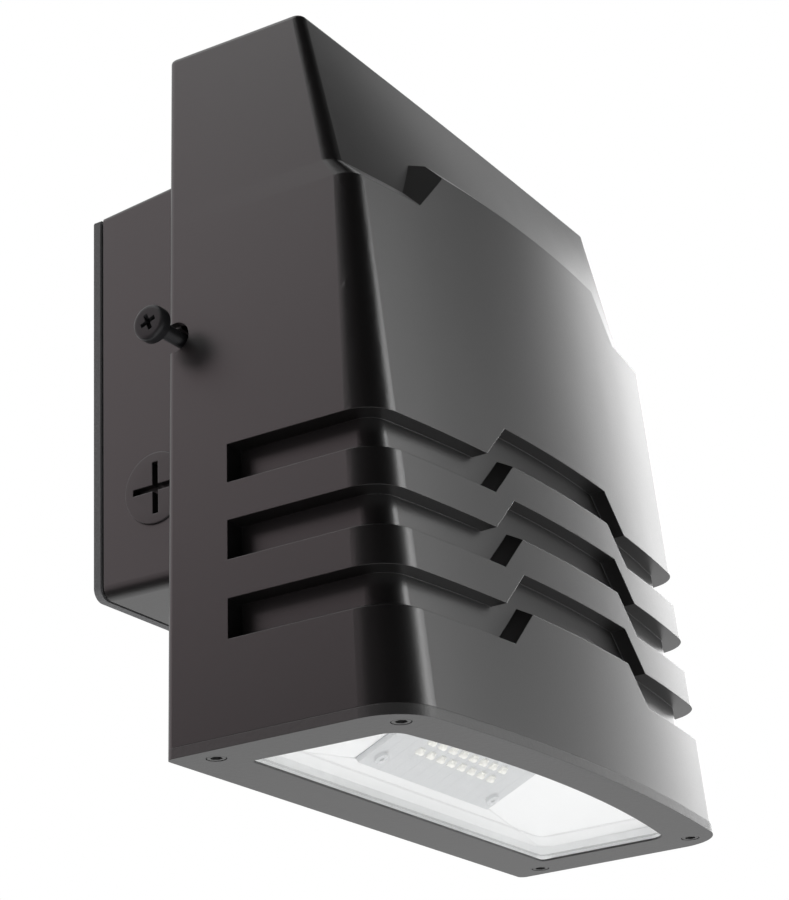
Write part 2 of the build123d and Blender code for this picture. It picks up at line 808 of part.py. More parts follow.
def make_rear_cover():
    cover = front_profile(cover_outline(), -cover_thickness, 0)
    cover += pocket_block(pocket_wall, pocket_floor_y - pocket_wall, 0)
    cover -= pocket_block(0, pocket_floor_y, overlap)
    for sign in (-1, 1):
        low = sign * hinge_offset - hinge_knuckle_width / 2
        high = sign * hinge_offset + hinge_knuckle_width / 2
        eye = rod((low, -hinge_setback, hinge_z), (1, 0, 0), 2 * hinge_eye_radius, high - low)
        web = block(low, high, pocket_floor_y - overlap, -hinge_setback,
                    hinge_z - hinge_eye_radius, hinge_z + hinge_eye_radius)
        bore = rod((low, -hinge_setback, hinge_z), (1, 0, 0),
                   hinge_pin_diameter + 2 * hinge_clearance, high - low)
        cover = cover + eye + web - bore
        cover -= notch(sign)
    for x, z in cover_screw_places():
        cover -= rod((x, overlap, z), (0, -1, 0), cover_screw_diameter + hole_clearance,
                     cover_thickness + 2 * overlap)
    cable_z = box_bottom + cable_hole_height
    cover -= rod((0, overlap, cable_z), (0, -1, 0), cable_hole, reach / 4)
    for x, z in driver_screw_places() + surge_screw_places():
        cover -= rod((x, pocket_floor_y, z), (0, -1, 0), driver_screw_diameter, pocket_wall)
    return cover


def make_cover_screws():
    return [screw((x, 0, z), (0, 1, 0), cover_screw_diameter, cover_screw_head,
                  cover_screw_head_height, cover_screw_length - overlap)
            for x, z in cover_screw_places()]


def make_cover_seal():
    """Ring on the pocket floor that the rim of the box presses."""
    back = pocket_floor_y + cover_seal_thickness
    ring = extrude(box_face(back, 0.0), cover_seal_thickness)
    return ring - extrude(box_face(back + overlap, cover_seal_width, cover_seal_width),
                          cover_seal_thickness + 2 * overlap)


def make_grommet():
    z = box_bottom + cable_hole_height
    floor_back = pocket_floor_y
    floor_front = pocket_floor_y - pocket_wall
    body = rod((0, floor_back, z), (0, -1, 0), cable_hole, pocket_wall)
    lip_back = rod((0, floor_back, z), (0, 1, 0), cable_hole + 2 * grommet_lip, grommet_lip_height)
    lip_front = rod((0, floor_front, z), (0, -1, 0), cable_hole + 2 * grommet_lip, grommet_lip_height)
    bore = rod((0, floor_back + reach / 8, z), (0, -1, 0), grommet_bore, reach / 4)
    return body + lip_back + lip_front - bore


def driver_middle():
    return box_bottom + driver_height


def driver_screw_places():
    x = driver_length / 2 + driver_ear / 2
    return [(sign * x, driver_middle()) for sign in (-1, 1)]


def surge_middle():
    return driver_middle() - driver_width / 2 - surge_width / 2 - surge_gap


def surge_screw_places():
    x = surge_length / 2 + surge_ear / 2
    return [(surge_offset + sign * x, surge_middle()) for sign in (-1, 1)]


def mount_y():
    return pocket_floor_y - pocket_wall


def make_driver_base():
    """Folded tray with two ears, screwed to the rear cover."""
    back = mount_y()
    z = driver_middle()
    half = driver_length / 2
    ears = block(-half - driver_ear, half + driver_ear, back - driver_ear_thickness, back,
                 z - driver_width / 4, z + driver_width / 4)
    tray = block(-half, half, back - driver_depth + driver_sheet, back,
                 z - driver_width / 2, z + driver_width / 2)
    tray -= block(-half + driver_sheet, half - driver_sheet,
                  back - driver_depth, back - driver_sheet,
                  z - driver_width / 2 + driver_sheet, z + driver_width / 2 - driver_sheet)
    base = ears + tray
    for x, hole_z in driver_screw_places():
        base -= rod((x, back + overlap, hole_z), (0, -1, 0), driver_screw_diameter + hole_clearance,
                    driver_ear_thickness + 2 * overlap)
    return base


def make_driver_lid():
    back = mount_y() - driver_depth + driver_sheet
    z = driver_middle()
    half = driver_length / 2
    return block(-half, half, back - driver_sheet, back, z - driver_width / 2, z + driver_width / 2)


def screws_through(places, seat_y, thread_length):
    return [screw((x, seat_y, z), (0, -1, 0), driver_screw_diameter, driver_screw_head,
                  driver_screw_head_height, thread_length)
            for x, z in places]


def make_driver_screws():
    return screws_through(driver_screw_places(), mount_y() - driver_ear_thickness,
                          driver_ear_thickness + pocket_wall)


def make_surge_protector():
    back = mount_y()
    z = surge_middle()
    half = surge_length / 2
    case = block(surge_offset - half, surge_offset + half, back - surge_depth, back,
                 z - surge_width / 2, z + surge_width / 2)
    case = fillet(case.edges().filter_by(Axis.Y), surge_corner_radius)
    ears = block(surge_offset - half - surge_ear, surge_offset + half + surge_ear,
                 back - surge_ear_thickness, back, z - surge_width / 4, z + surge_width / 4)
    case += ears
    for x, hole_z in surge_screw_places():
        case -= rod((x, back + overlap, hole_z), (0, -1, 0), driver_screw_diameter + hole_clearance,
                    surge_ear_thickness + 2 * overlap)
    return case


def make_surge_screws():
    return screws_through(surge_screw_places(), mount_y() - surge_ear_thickness,
                          surge_ear_thickness + pocket_wall)


# ---------------------------------------------------------------- terminals in the wall box
def box_floor_y():
    return box_wall_y - box_floor


def terminal_middle():
    return box_middle - terminal_offset


def terminal_places():
    pitch = terminal_length / terminal_ways
    start = -pitch * (terminal_ways - 1) / 2
    return [start + index * pitch for index in range(terminal_ways)]


def make_terminal_block():
    z = terminal_middle()
    back = box_floor_y()
    front = back - terminal_depth
    half = terminal_length / 2
    entry = terminal_bore / 2
    body = block(-half, half, front, back, z - terminal_width / 2, z + terminal_width / 2)
    for x in terminal_places():
        body -= rod((x, front, z), (0, 1, 0), terminal_bore, terminal_depth / 2)
        body -= block(x - entry, x + entry, front + terminal_depth / 2,
                      front + terminal_depth / 2 + terminal_bore,
                      z - terminal_width / 2 - overlap, z - terminal_width / 4)
    for x in terminal_places()[:-1]:
        middle = x + terminal_length / terminal_ways / 2
        body -= block(middle - terminal_groove / 2, middle + terminal_groove / 2,
                      front - overlap, front + terminal_depth / 3,
                      z - terminal_width, z + terminal_width)
    return body


def make_terminal_screws():
    z = terminal_middle()
    seat = box_floor_y() - terminal_depth / 2
    face = seat - terminal_depth / 4
    screws = []
    for x in terminal_places():
        stem = rod((x, seat, z), (0, -1, 0), terminal_screw, terminal_depth / 4)
        slot = block(x - terminal_screw, x + terminal_screw, face - overlap, face + terminal_slot,
                     z - terminal_slot / 2, z + terminal_slot / 2)
        screws.append(stem - slot)
    return screws


def ground_place():
    return ground_offset_x, box_middle + ground_offset_z


def make_ground_screw():
    x, z = ground_place()
    seat = box_floor_y() - ground_boss_height
    flange = rod((x, seat, z), (0, -1, 0), ground_screw_head, ground_screw_head_height / 3)
    hexagon = Plane(origin=(x, seat, z), z_dir=(0, -1, 0)) * RegularPolygon(
        ground_hex_radius, 6)
    head = extrude(hexagon, ground_screw_head_height)
    shank = rod((x, seat, z), (0, 1, 0), ground_screw_diameter, ground_boss_height)
    return flange + head + shank


# ---------------------------------------------------------------- all pieces
pieces = {
    "wall_box": make_wall_box(),
    "wall_seal": make_wall_seal(),
    "conduit_plug_left": make_plug(-1),
    "conduit_plug_right": make_plug(1),
    "hinge_pin_left": make_hinge_pin(-1),
    "hinge_pin_right": make_hinge_pin(1),
    "terminal_block": make_terminal_block(),
    "terminal_screws": make_terminal_screws(),
    "ground_screw": make_ground_screw(),
    "lock_screw_left": make_lock_screw(-1),
    "lock_screw_right": make_lock_screw(1),
    "housing": make_housing(),
    "bottom_frame": make_bottom_frame(),
    "rim_seal": make_rim_seal(),
    "frame_screws": make_frame_screws(),
    "lens_glass": make_glass(),
    "glass_seal": make_glass_seal(),
    "reflector": make_reflector(),
    "thermal_pad": make_thermal_pad(),
    "led_board": make_board(),
    "led_chips": make_chips(),
    "board_screws": make_board_screws(),
    "rear_cover": make_rear_cover(),
    "cover_screws": make_cover_screws(),
    "cover_seal": make_cover_seal(),
    "cable_grommet": make_grommet(),
    "driver_base": make_driver_base(),
    "driver_lid": make_driver_lid(),
    "driver_screws": make_driver_screws(),
    "surge_protector": make_surge_protector(),
    "surge_screws": make_surge_screws(),
}

to_wall_origin = Pos(0, -wall_face_y, -box_middle)
os.makedirs("parts", exist_ok=True)
for name, piece in pieces.items():
    solids = piece if isinstance(piece, list) else [piece]
    solids = [to_wall_origin * solid for part in solids for solid in part.solids()]
    shape = solids[0] if len(solids) == 1 else Compound(children=solids)
    shape.label = name
    export_step(shape, f"parts/{name}.step")
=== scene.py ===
"""Dresses the wall pack light: finishes, screws, light source, plugs, camera and studio."""
import json
import math

import bmesh
import bpy
from mathutils import Matrix, Vector


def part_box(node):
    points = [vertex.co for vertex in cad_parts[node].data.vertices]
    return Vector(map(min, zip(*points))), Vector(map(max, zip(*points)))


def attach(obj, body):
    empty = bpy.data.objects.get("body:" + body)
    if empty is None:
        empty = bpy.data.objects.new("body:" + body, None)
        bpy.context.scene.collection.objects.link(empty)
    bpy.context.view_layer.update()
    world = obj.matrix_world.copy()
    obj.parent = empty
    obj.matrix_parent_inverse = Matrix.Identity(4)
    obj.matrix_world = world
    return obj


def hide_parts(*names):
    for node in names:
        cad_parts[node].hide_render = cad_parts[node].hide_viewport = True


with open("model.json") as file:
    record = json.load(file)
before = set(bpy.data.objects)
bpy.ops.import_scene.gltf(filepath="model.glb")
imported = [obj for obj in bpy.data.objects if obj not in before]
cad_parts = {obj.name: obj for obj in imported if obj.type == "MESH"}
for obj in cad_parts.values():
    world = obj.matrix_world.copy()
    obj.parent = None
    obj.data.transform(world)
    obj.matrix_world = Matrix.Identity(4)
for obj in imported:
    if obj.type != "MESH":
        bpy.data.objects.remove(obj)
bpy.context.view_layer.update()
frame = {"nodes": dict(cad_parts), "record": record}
nodes = frame["nodes"]
bpy.ops.object.select_all(action="DESELECT")

mm = 0.001
downwards = Vector((0.0, 0.0, -1.0))


# ------------------------------------------------------------ shader arithmetic
class Reading:
    """A value that varies over a surface, with the usual arithmetic."""

    def __init__(self, shading, socket):
        self.shading = shading
        self.socket = socket

    def maths(self, operation, *values):
        return self.shading.node("Math", {"operation": operation}, dict(enumerate(values)))

    def __add__(self, other):
        return self.maths("ADD", self, other)

    def __radd__(self, other):
        return self.maths("ADD", other, self)

    def __sub__(self, other):
        return self.maths("SUBTRACT", self, other)

    def __rsub__(self, other):
        return self.maths("SUBTRACT", other, self)

    def __mul__(self, other):
        return self.maths("MULTIPLY", self, other)

    def __rmul__(self, other):
        return self.maths("MULTIPLY", other, self)

    def __lt__(self, other):
        return self.maths("LESS_THAN", self, other)

    def __gt__(self, other):
        return self.maths("GREATER_THAN", self, other)

    def highest(self, other):
        return self.maths("MAXIMUM", self, other)


class Shading:
    """The nodes of one material or of the world."""

    def __init__(self, owner):
        owner.use_nodes = True
        self.tree = owner.node_tree

    def feed(self, socket, value):
        if isinstance(value, Reading):
            self.tree.links.new(value.socket, socket)
        elif isinstance(value, tuple) and len(value) == 3 and len(socket.default_value) == 4:
            socket.default_value = (*value, 1.0)
        else:
            socket.default_value = value

    def node(self, kind, settings=None, inputs=None, output=0):
        """Adds a node: its settings are set first, then its sockets' values or links."""
        item = self.tree.nodes.new("ShaderNode" + kind)
        for key, value in (settings or {}).items():
            if key == "stops":
                for stop, (position, grey) in zip(item.color_ramp.elements, value):
                    stop.position = position
                    stop.color = (grey, grey, grey, 1.0)
            else:
                setattr(item, key, value)
        for key, value in (inputs or {}).items():
            self.feed(item.inputs[key], value)
        return Reading(self, item.outputs[output])

    def backdrop_rays(self):
        """1 for rays that show a backdrop, straight, mirrored or through glass."""
        straight, mirrored, through = (
            self.node("LightPath", output=ray)
            for ray in ("Is Camera Ray", "Is Glossy Ray", "Is Transmission Ray"))
        return straight.highest(mirrored).highest(through)


class Finish(Shading):
    """One material.  Plain keywords are values on its shader's own sockets."""

    def __init__(self, name, **plain):
        self.material = bpy.data.materials.new(name)
        super().__init__(self.material)
        self.shader = self.tree.nodes["Principled BSDF"]
        for key, value in plain.items():
            self.set(key.replace("_", " ").title().replace("Ior", "IOR"), value)

    def set(self, socket, value):
        self.feed(self.shader.inputs[socket], value)

    def place(self):
        return self.node("TexCoord", output="Object")

    def axis(self, letter):
        return self.node("SeparateXYZ", inputs={"Vector": self.place()}, output=letter)

    def noise(self, scale, detail=3.0, roughness=0.5, stretch=None):
        where = self.place()
        if stretch:
            where = self.node("Mapping", inputs={"Vector": where, "Scale": stretch})
        return self.node("TexNoise", inputs={"Vector": where, "Scale": scale,
                                             "Detail": detail, "Roughness": roughness})

    def ramp(self, reading, *stops):
        return self.node("ValToRGB", {"stops": stops}, {"Fac": reading})

    def blend(self, share, first, second):
        return self.node("Mix", {"data_type": "RGBA"}, {0: share, 6: first, 7: second}, 2)

    def bump(self, height, strength, distance, edge=None):
        """Raises the surface by height, and rounds its edges in the light by edge."""
        inputs = {"Height": height, "Strength": strength, "Distance": distance}
        if edge is not None:
            inputs["Normal"] = self.node("Bevel", {"samples": 6}, {"Radius": edge})
        self.set("Normal", self.node("Bump", inputs=inputs))


def scaled(colour, factor):
    return tuple(min(part * factor, 1.0) for part in colour)


# ------------------------------------------------------------ finishes
def powder_coat(name, colour, roughness, grain=1.0, edge=0.5 * mm, peel_scale=900.0,
                crisp_behind=None):
    """Satin powder coat: fine orange peel, faint clouding and softened edges.

    Edges behind crisp_behind, a place along Y, are left almost sharp.
    """
    paint = Finish(name, specular_ior_level=1.0)
    cloud = paint.noise(scale=9.0)
    speck = paint.noise(scale=2600.0, detail=2.0)
    tone = paint.ramp(cloud * 0.6 + speck * 0.4, (0.35, 0.0), (0.65, 1.0))
    paint.set("Base Color", paint.blend(tone, scaled(colour, 0.86), scaled(colour, 1.16)))
    paint.set("Roughness", roughness + (cloud - 0.5) * 0.06 + (speck - 0.5) * 0.08)
    peel = paint.noise(scale=peel_scale, detail=2.0) * 0.65 + speck * 0.35
    if crisp_behind is not None:
        crisp_edge = 0.02 * mm
        edge = (paint.axis("Y") < crisp_behind) * edge + crisp_edge
    paint.bump(peel, strength=0.22 * grain, distance=0.12 * mm, edge=edge)
    return paint.material


def plated_steel(name, colour, roughness):
    """Plated screws and pins: a bright metal with fine turning lines."""
    steel = Finish(name, metallic=1.0)
    lines = steel.noise(scale=700.0, detail=2.0, stretch=(1.0, 1.0, 6.0))
    stain = steel.noise(scale=260.0, detail=4.0)
    steel.set("Base Color", steel.blend(stain, scaled(colour, 0.8), colour))
    steel.set("Roughness", roughness + (stain - 0.5) * 0.18)
    steel.bump(lines, strength=0.15, distance=0.06 * mm, edge=0.3 * mm)
    return steel.material


def black_oxide(name, colour, roughness):
    """Blackened steel: dark, with a faint dry bloom."""
    oxide = Finish(name, metallic=0.35)
    bloom = oxide.noise(scale=420.0, detail=5.0, roughness=0.65)
    oxide.set("Base Color", oxide.blend(bloom, colour, scaled(colour, 1.9)))
    oxide.set("Roughness", roughness + (bloom - 0.5) * 0.2)
    pits = oxide.noise(scale=1500.0, detail=2.0)
    oxide.bump(pits, strength=0.2, distance=0.06 * mm, edge=0.3 * mm)
    return oxide.material


def soft_rubber(name, colour, cell_scale, cell_depth):
    """Closed-cell foam or moulded rubber with an open, dull skin."""
    foam = Finish(name, roughness=0.85, specular_ior_level=0.3)
    cells = foam.node("TexVoronoi", {"feature": "F1"},
                      {"Vector": foam.place(), "Scale": cell_scale})
    cloud = foam.noise(scale=60.0)
    foam.set("Base Color", foam.blend(cells * 0.7 + cloud * 0.3,
                                      scaled(colour, 0.7), scaled(colour, 1.25)))
    foam.bump(cells, strength=0.5, distance=cell_depth)
    return foam.material


def moulded(name, colour, roughness):
    """Moulded plastic with a fine spark-eroded grain."""
    plastic = Finish(name)
    grit = plastic.noise(scale=1800.0)
    cloud = plastic.noise(scale=45.0, detail=2.0)
    plastic.set("Base Color", plastic.blend(cloud, scaled(colour, 0.93), colour))
    plastic.set("Roughness", roughness + (grit - 0.5) * 0.12)
    plastic.bump(grit, strength=0.18, distance=0.08 * mm, edge=0.4 * mm)
    return plastic.material


def sheet_metal(name, colour, roughness):
    """Rolled aluminium sheet with lines along its length."""
    sheet = Finish(name, metallic=1.0)
    lines = sheet.noise(scale=240.0, detail=4.0, roughness=0.7, stretch=(0.06, 6.0, 6.0))
    cloud = sheet.noise(scale=20.0)
    sheet.set("Base Color", sheet.blend(cloud, scaled(colour, 0.88), colour))
    sheet.set("Roughness", roughness + (lines - 0.5) * 0.2 + (cloud - 0.5) * 0.08)
    sheet.bump(lines, strength=0.12, distance=0.05 * mm, edge=0.4 * mm)
    return sheet.material


def clear_glass(name):
    """Tempered glass seen through: only its reflections cover what lies behind."""
    glass = Finish(name, metallic=1.0, roughness=0.03)
    smear = glass.noise(scale=14.0, detail=4.0)
    glass.set("Base Color", glass.blend(smear, (0.93, 0.95, 0.95), (0.99, 1.0, 1.0)))
    slant = glass.node("LayerWeight", inputs={"Blend": 0.5}, output="Facing")
    slant_squared = slant * slant
    glancing = slant_squared * slant_squared * slant
    glass.set("Alpha", glancing * 0.9 + 0.035 + smear * 0.01)
    return glass.material


def white_reflector(name):
    """White high-reflectance sheet with a faint stipple."""
    white = Finish(name, coat_weight=0.15)
    stipple = white.noise(scale=1300.0, detail=2.0)
    cloud = white.noise(scale=25.0)
    white.set("Base Color", white.blend(cloud, (0.82, 0.82, 0.82), (0.87, 0.87, 0.87)))
    white.set("Roughness", 0.32 + (stipple - 0.5) * 0.1)
    white.bump(stipple, strength=0.12, distance=0.06 * mm, edge=0.4 * mm)
    return white.material


def solder_mask(name):
    """White solder mask over broad copper areas parted by thin gaps."""
    half_area, half_gap = 3.8 * mm, 0.28 * mm
    board = Finish(name, roughness=0.42)
    x = board.axis("X")
    gap = x.maths("PINGPONG", x + half_area, half_area) < half_gap
    fleck = board.noise(scale=700.0)
    ground = board.blend(fleck, (0.42, 0.43, 0.44), (0.48, 0.49, 0.50))
    board.set("Base Color", board.blend(gap, ground, (0.36, 0.37, 0.38)))
    board.bump(1 - gap, strength=0.4, distance=0.05 * mm, edge=0.2 * mm)
    return board.material


def phosphor(name):
    """Pale yellow phosphor under a clear dome."""
    glow = Finish(name, roughness=0.3, coat_weight=0.6)
    grains = glow.noise(scale=3200.0, detail=2.0)
    glow.set("Base Color", glow.blend(grains, (0.90, 0.88, 0.80), (0.95, 0.94, 0.88)))
    glow.bump(grains, strength=0.1, distance=0.03 * mm)
    return glow.material


def silicone(name, colour):
    """Cured silicone: pale, with faint clouding."""
    clear = Finish(name, roughness=0.35, specular_ior_level=0.4)
    cloud = clear.noise(scale=180.0)
    clear.set("Base Color", clear.blend(cloud, scaled(colour, 0.85), colour))
    clear.bump(cloud, strength=0.15, distance=0.1 * mm)
    return clear.material


bronze = (0.0042, 0.0037, 0.0038)
frame_grey = (0.016, 0.016, 0.016)
housing_crisp_behind = -52.0 * mm
finishes = {
    "housing_paint": powder_coat("housing_paint", bronze, roughness=0.345, edge=0.35 * mm,
                                 crisp_behind=housing_crisp_behind),
    "box_paint": powder_coat("box_paint", bronze, roughness=0.40, edge=0.4 * mm),
    "frame_paint": powder_coat("frame_paint", frame_grey, roughness=0.46, grain=4.0,
                               edge=0.3 * mm, peel_scale=480.0),
    "plug_paint": powder_coat("plug_paint", bronze, roughness=0.42),
    "black_steel": black_oxide("black_steel", (0.012, 0.012, 0.013), roughness=0.40),
    "pin_steel": plated_steel("pin_steel", (0.60, 0.60, 0.60), roughness=0.28),
    "zinc_steel": plated_steel("zinc_steel", (0.74, 0.75, 0.77), roughness=0.26),
    "green_steel": powder_coat("green_steel", (0.05, 0.30, 0.10), roughness=0.35,
                               edge=0.3 * mm),
    "seal_rubber": soft_rubber("seal_rubber", (0.125, 0.125, 0.128), cell_scale=1400.0,
                               cell_depth=0.2 * mm),
    "clear_silicone": silicone("clear_silicone", (0.93, 0.94, 0.94)),
    "lens_glass": clear_glass("lens_glass"),
    "reflector_white": white_reflector("reflector_white"),
    "pad_grey": soft_rubber("pad_grey", (0.42, 0.44, 0.50), cell_scale=900.0,
                            cell_depth=0.1 * mm),
    "board_white": solder_mask("board_white"),
    "chip_phosphor": phosphor("chip_phosphor"),
    "driver_metal": sheet_metal("driver_metal", (0.78, 0.79, 0.80), roughness=0.34),
    "surge_plastic": moulded("surge_plastic", (0.030, 0.030, 0.032), roughness=0.5),
    "terminal_plastic": moulded("terminal_plastic", (0.74, 0.73, 0.68), roughness=0.42),
}
for part in frame["record"]["subparts"]:
    piece = nodes[part["node"]]
    piece.data.materials.clear()
    piece.data.materials.append(finishes[part["material_slot"]])


# ------------------------------------------------------------ modelling helpers
def solids_of(node):
    """Lowest and highest corner of each separate solid of a node."""
    mesh = bmesh.new()
    mesh.from_mesh(nodes[node].data)
    bmesh.ops.remove_doubles(mesh, verts=mesh.verts, dist=1e-6)
    waiting = set(mesh.verts)
    found = []
    while waiting:
        group = [waiting.pop()]
        for vertex in group:
            for edge in vertex.link_edges:
                other = edge.other_vert(vertex)
                if other in waiting:
                    waiting.remove(other)
                    group.append(other)
        lows = Vector([min(v.co[axis] for v in group) for axis in range(3)])
        highs = Vector([max(v.co[axis] for v in group) for axis in range(3)])
        found.append((lows, highs))
    mesh.free()
    return sorted(found, key=lambda pair: tuple(round(part, 5) for part in pair[0]))


def corners_of(node):
    """Lowest corner, highest corner and middle of a node."""
    low, high = (Vector(corner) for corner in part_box(node))
    return low, high, (low + high) / 2


def pick(*objects):
    """Selects these objects alone and makes the first one active."""
    bpy.ops.object.select_all(action="DESELECT")
    for obj in objects:
        obj.select_set(True)
    bpy.context.view_layer.objects.active = objects[0]


def settle(obj):
    """Puts the object's place into its mesh, so that it stands at the origin."""
    pick(obj)
    bpy.ops.object.transform_apply(location=True, rotation=True, scale=True)


def apply_modifiers(obj):
    pick(obj)
    for modifier in list(obj.modifiers):
        bpy.ops.object.modifier_apply(modifier=modifier.name)


def carve(obj, tool, operation="DIFFERENCE"):
    """Cuts the tool out of the object, or adds it, and removes the tool."""
    cut = obj.modifiers.new("carve", "BOOLEAN")
    cut.operation = operation
    cut.solver = "EXACT"
    cut.object = tool
    apply_modifiers(obj)
    bpy.data.objects.remove(tool, do_unlink=True)


def join(objects, name):
    pick(*objects)
    if len(objects) > 1:
        bpy.ops.object.join()
    objects[0].name = name
    return objects[0]


def smooth(obj, degrees=35.0):
    pick(obj)
    bpy.ops.object.shade_smooth_by_angle(angle=math.radians(degrees))


def dress(obj, finish, body, *replaced):
    """Gives a finished piece its material and its body, and hides the parts that it stands
    for.
    """
    obj.data.materials.clear()
    obj.data.materials.append(finishes[finish])
    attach(obj, body)
    if replaced:
        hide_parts(*replaced)


def add_rod(radius, low, high, sides):
    """A round bar along Z, not yet settled."""
    bpy.ops.mesh.primitive_cylinder_add(vertices=sides, radius=radius, depth=high - low,
                                        location=(0.0, 0.0, (low + high) / 2))
    return bpy.context.object


def add_stem(radius, low, high, sides):
    stem = add_rod(radius, low, high, sides)
    settle(stem)
    return stem


def add_head(radius, height, rim, sides, rim_steps=4):
    """A disc that stands on the origin, with the rim of its top rounded."""
    head = add_rod(radius, 0.0, height, sides)
    middle = head.location.z
    bpy.ops.object.mode_set(mode="EDIT")
    bpy.ops.mesh.select_all(action="DESELECT")
    bpy.ops.mesh.select_mode(type="EDGE")
    mesh = bmesh.from_edit_mesh(head.data)
    for edge in mesh.edges:
        edge.select = all(abs(v.co.z + middle - height) < 1e-6 for v in edge.verts)
    bmesh.update_edit_mesh(head.data)
    bpy.ops.mesh.bevel(offset=rim, segments=rim_steps, profile=0.62, affect="EDGES")
    bpy.ops.object.mode_set(mode="OBJECT")
    settle(head)
    return head


# ------------------------------------------------------------ making screws
# Shares of a pan head: its rounded rim, how far the stem reaches into it, and its recess.
rim_share, stem_share = 0.42, 0.2
recess_length_share, recess_depth_share, recess_width_share = 0.62, 0.62, 0.17
# Shares of the recess's length that make the driver tip's tapered blades.
blade_tip_share, blade_root_share, blade_full_share = 0.36, 0.74, 1.04
thread_steps, thread_share = 20, 0.62


def cross_tool(size, top, depth, width):
    """A driver's tip: two tapered blades that cross."""
    blades = []
    for turn in (0.0, 90.0):
        bpy.ops.mesh.primitive_cone_add(
            vertices=4, radius1=size * blade_tip_share, radius2=size * blade_root_share,
            depth=depth * 2, location=(0.0, 0.0, top), rotation=(0.0, 0.0, math.radians(45.0)))
        blade = bpy.context.object
        settle(blade)
        blade.scale = (1.0, width / (size * blade_full_share), 1.0)
        blade.rotation_euler = (0.0, 0.0, math.radians(turn))
        settle(blade)
        blades.append(blade)
    carve(blades[0], blades[1], "UNION")
    return blades[0]


def pan_screw(shank, length, head, height, cross=0.72, sides=40):
    """A pan-head screw with a crossed recess, its seat at the origin and its head upwards."""
    top = add_head(head / 2, height, height * rim_share, sides)
    carve(top, cross_tool(head * cross * recess_length_share, height,
                          height * recess_depth_share, head * recess_width_share))
    stem = add_stem(shank / 2, -length, height * stem_share, max(16, sides // 2))
    return join([top, stem], "screw")


def thread(radius, pitch, length, depth, finish_at):
    """A helical ridge that ends at one height and winds downwards."""
    bpy.ops.mesh.primitive_circle_add(
        vertices=3, radius=depth * thread_share, location=(radius, 0.0, finish_at - length),
        rotation=(math.radians(90.0), 0.0, 0.0), fill_type="NOTHING")
    ridge = bpy.context.object
    settle(ridge)
    winding = ridge.modifiers.new("winding", "SCREW")
    winding.screw_offset = pitch
    winding.iterations = int(length / pitch)
    winding.steps = thread_steps
    winding.render_steps = thread_steps
    apply_modifiers(ridge)
    return ridge


def place_on(obj, seat, out, turn=0.0):
    """Moves a finished piece to its seat, with its top along out."""
    obj.matrix_world = (Matrix.Translation(seat)
                        @ out.to_track_quat("Z", "Y").to_matrix().to_4x4()
                        @ Matrix.Rotation(math.radians(turn), 4, "Z"))
    settle(obj)


def copies_at(original, seats, out, name, turns):
    """One piece made of copies, each with its own mesh and turn."""
    placed = []
    for index, seat in enumerate(seats):
        extra = original.copy()
        extra.data = original.data.copy()
        bpy.context.collection.objects.link(extra)
        place_on(extra, seat, out, turns[index % len(turns)])
        placed.append(extra)
    bpy.data.objects.remove(original, do_unlink=True)
    return join(placed, name)


# ------------------------------------------------------------ frame screws
# Heads painted like the frame and flush with it, each with a six-sided socket; a thin black
# disc on the socket's floor is painted shade.
flush_height, flush_rim, flush_seat = 1.6 * mm, 0.25 * mm, 1.7 * mm
flush_stem_radius, flush_stem_top = 2.0 * mm, 0.2 * mm
flush_turn = 15.0
socket_radius, socket_depth = 2.35 * mm, 1.2 * mm
# Size and height of the thin black disc that is painted shade on each socket's floor.
shade_disc_radius, shade_disc_low, shade_disc_high = 2.33 * mm, 0.41 * mm, 0.51 * mm

frame_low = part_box("bottom_frame")[0][2]
flush_heads, shade_discs = [], []
for low, high in solids_of("frame_screws"):
    head = add_head((high.x - low.x) / 2, flush_height, flush_rim, 64, rim_steps=2)
    carve(head, add_stem(socket_radius, flush_height - socket_depth,
                         flush_height + socket_depth, 6))
    # A thin black disc at the socket's floor: painted shade in the recess.
    shade_disc = add_stem(shade_disc_radius, shade_disc_low, shade_disc_high, 6)
    stem = add_stem(flush_stem_radius, -(high.z - frame_low - flush_seat), flush_stem_top, 24)
    head = join([head, stem], "head")
    middle = (low + high) / 2
    for item in (head, shade_disc):
        place_on(item, Vector((middle.x, middle.y, frame_low + flush_seat)), downwards,
                 flush_turn)
    flush_heads.append(head)
    shade_discs.append(shade_disc)
flush_screws = join(flush_heads, "frame_flush_screws")
smooth(flush_screws, 30.0)
dress(flush_screws, "frame_paint", "lamp", "frame_screws")
# The black discs are painted shade in the screws' sockets.
dress(join(shade_discs, "frame_screw_painted_shade"), "black_steel", "lamp")

# ------------------------------------------------------------ small pan-head screws
small_head, small_shank = 7.6 * mm, 4.0 * mm
for node, name, finish, sign, height in (
        ("cover_screws", "cover_pan_screws", "black_steel", 1.0, 2.4 * mm),
        ("driver_screws", "driver_pan_screws", "zinc_steel", -1.0, 2.6 * mm),
        ("surge_screws", "surge_pan_screws", "zinc_steel", -1.0, 2.6 * mm)):
    spots = solids_of(node)
    seats = []
    for low, high in spots:
        seat = (low + high) / 2
        seat.y = (high.y if sign > 0 else low.y) - sign * height
        seats.append(seat)
    length = spots[0][1].y - spots[0][0].y - height
    screw = pan_screw(small_shank, length, small_head, height)
    screws = copies_at(screw, seats, Vector((0.0, sign, 0.0)), name, (12.0, 47.0, 71.0, 28.0))
    smooth(screws)
    dress(screws, finish, "lamp", node)

